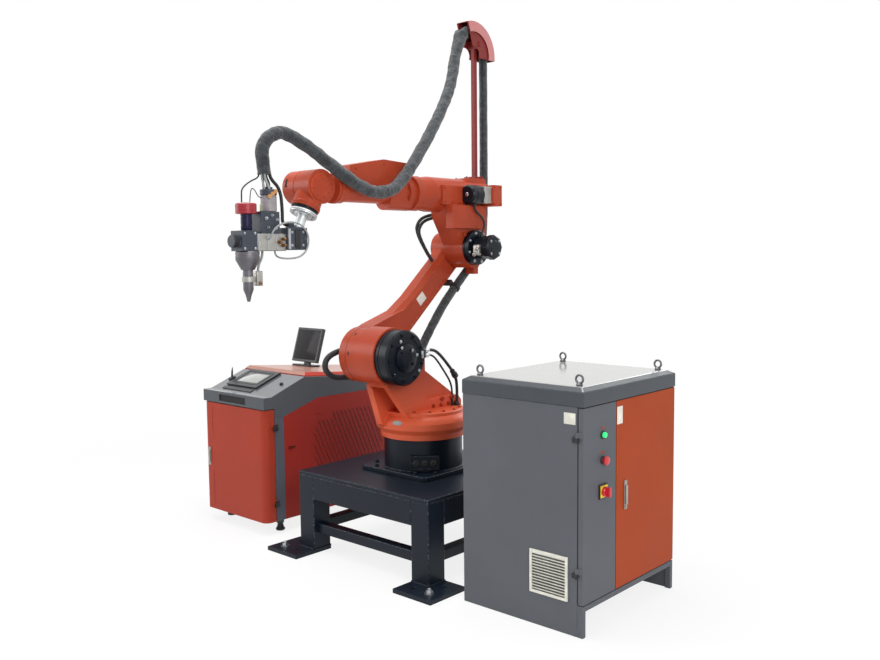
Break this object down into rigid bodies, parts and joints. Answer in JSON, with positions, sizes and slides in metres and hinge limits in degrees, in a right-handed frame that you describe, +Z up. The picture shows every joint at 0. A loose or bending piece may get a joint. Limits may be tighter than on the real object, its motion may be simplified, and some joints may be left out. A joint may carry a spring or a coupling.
{
  "type": "robotic laser processing cell",
  "caption": "Articulated robot with a laser head and sheathed hose package on a steel table, beside a laser source cabinet and a control cabinet.",
  "frame": {"origin": "on the floor under the robot's first axis, at the centre of the square table", "axes": "+Z up, -Y the way the robot and the laser cabinet's door face, +X towards the control cabinet"},
  "size_m": [2.8863, 1.968, 3.02],
  "materials": {
    "robot_orange": "semi-gloss orange paint",
    "table_paint": "satin blue-black paint",
    "motor_black": "satin black paint",
    "cover_black": "matt black",
    "bright_steel": "plain steel",
    "alloy": "fine machined aluminium",
    "slate_paint": "satin dark grey paint",
    "cabinet_grey": "fine textured grey paint",
    "door_orange": "fine textured orange paint",
    "laser_orange": "fine textured red-orange paint",
    "laser_red": "fine textured dark red paint",
    "laser_grey": "satin grey paint",
    "post_red": "satin red paint",
    "sheath": "woven grey fabric sheath",
    "cable_rubber": "matt black rubber",
    "cap_red": "glossy red",
    "camera_blue": "satin blue-black",
    "cream": "cream, fine matt",
    "chrome": "polished",
    "button_green": "glossy green",
    "button_red": "glossy red",
    "grille_cream": "cream-grey",
    "screen_black": "glossy black"
  },
  "bodies": {
    "cell": {"table_top": "table_paint", "table_legs": "table_paint", "table_rails": "table_paint", "foot_plates": "table_paint", "anchor_bolts": "bright_steel", "robot_base": "table_paint", "connector_panel": "table_paint", "cabinet_walls": "cabinet_grey", "cabinet_frame": "cabinet_grey", "cabinet_lid": "cabinet_grey", "lifting_eyes": "bright_steel", "air_grille": "grille_cream", "laser_walls": "laser_red", "laser_chassis": "laser_grey", "laser_top": "laser_orange", "laser_console": "slate_paint", "touch_screen": "screen_black", "laser_post": "laser_grey", "laser_feet": "cover_black", "pendant": "screen_black", "door_hinges": "cover_black"},
    "turntable": {"turntable": "robot_orange", "shoulder_motor": "motor_black", "shoulder_cable": "cable_rubber"},
    "lower_arm": {"lower_arm": "robot_orange", "arm_loop": "cable_rubber", "arm_clamp": "cover_black", "hose_arm": "sheath"},
    "elbow": {"elbow_housing": "robot_orange", "elbow_motor": "motor_black", "roll_motor": "motor_black", "roll_motor_block": "alloy", "elbow_cable": "cable_rubber", "elbow_conduit": "cable_rubber", "hose_post": "post_red", "hose_rise": "sheath", "hose_back": "sheath", "hose_front": "sheath"},
    "forearm": {"forearm": "robot_orange"},
    "hand": {"hand": "robot_orange"},
    "tool": {"tool_ring": "motor_black", "tool_flange": "alloy", "head_bracket": "slate_paint", "head_body": "alloy", "head_optics": "slate_paint", "camera": "camera_blue", "camera_cap": "cap_red", "collimator": "cream", "nozzle": "alloy", "gas_jet": "slate_paint", "tool_cables": "cable_rubber"},
    "narrow_door": {"narrow_door": "cabinet_grey", "control_plates": "cover_black"},
    "wide_door": {"wide_door": "door_orange", "wide_latch": "chrome"},
    "laser_door": {"laser_door": "laser_orange", "laser_latch": "chrome"},
    "main_switch": {"rotary_switch": "button_red"},
    "start_button": {"start_button": "button_green"},
    "stop_button": {"stop_button": "button_red"}
  },
  "joints": [
    {"name": "base_turn", "type": "hinge", "parent": "cell", "child": "turntable", "pos_m": [0, 0, 0.66], "axis": [0, 0, 1], "range_deg": [-170, 170]},
    {"name": "shoulder_tilt", "type": "hinge", "parent": "turntable", "child": "lower_arm", "pos_m": [0, -0.325, 1.13], "axis": [1, 0, 0], "range_deg": [-15, 60], "deforming": ["hose_arm"]},
    {"name": "elbow_tilt", "type": "hinge", "parent": "lower_arm", "child": "elbow", "pos_m": [0, 0.33638, 1.70899], "axis": [-1, 0, 0], "range_deg": [-40, 60], "deforming": ["hose_back", "elbow_conduit"]},
    {"name": "forearm_roll", "type": "hinge", "parent": "elbow", "child": "forearm", "pos_m": [0, -0.105, 2.00899], "axis": [0, -1, 0], "range_deg": [-120, 120], "deforming": ["hose_front"]},
    {"name": "wrist_tilt", "type": "hinge", "parent": "forearm", "child": "hand", "pos_m": [0, -0.775, 2.00899], "axis": [-1, 0, 0], "range_deg": [-50, 55]},
    {"name": "tool_turn", "type": "hinge", "parent": "hand", "child": "tool", "pos_m": [0, -0.775, 2.00899], "axis": [0, 0.4226, 0.9063], "range_deg": [-120, 120]},
    {"name": "narrow_door_swing", "type": "hinge", "parent": "cell", "child": "narrow_door", "pos_m": [1.3645, -0.485, 0.286], "axis": [0, 0, -1], "range_deg": [0, 120]},
    {"name": "wide_door_swing", "type": "hinge", "parent": "cell", "child": "wide_door", "pos_m": [1.3645, 0.336, 0.286], "axis": [0, 0, 1], "range_deg": [0, 120]},
    {"name": "laser_door_swing", "type": "hinge", "parent": "cell", "child": "laser_door", "pos_m": [-0.818, -0.4165, 0.187], "axis": [0, 0, 1], "range_deg": [0, 110]},
    {"name": "main_switch_turn", "type": "hinge", "parent": "narrow_door", "child": "main_switch", "pos_m": [1.402, -0.325, 0.626], "axis": [1, 0, 0], "range_deg": [0, 90]},
    {"name": "start_press", "type": "slide", "parent": "narrow_door", "child": "start_button", "axis": [-1, 0, 0], "range_m": [0, 0.004], "stiffness_N_per_m": 400, "springref_m": -0.001},
    {"name": "stop_press", "type": "slide", "parent": "narrow_door", "child": "stop_button", "axis": [-1, 0, 0], "range_m": [0, 0.004]}
  ]
}
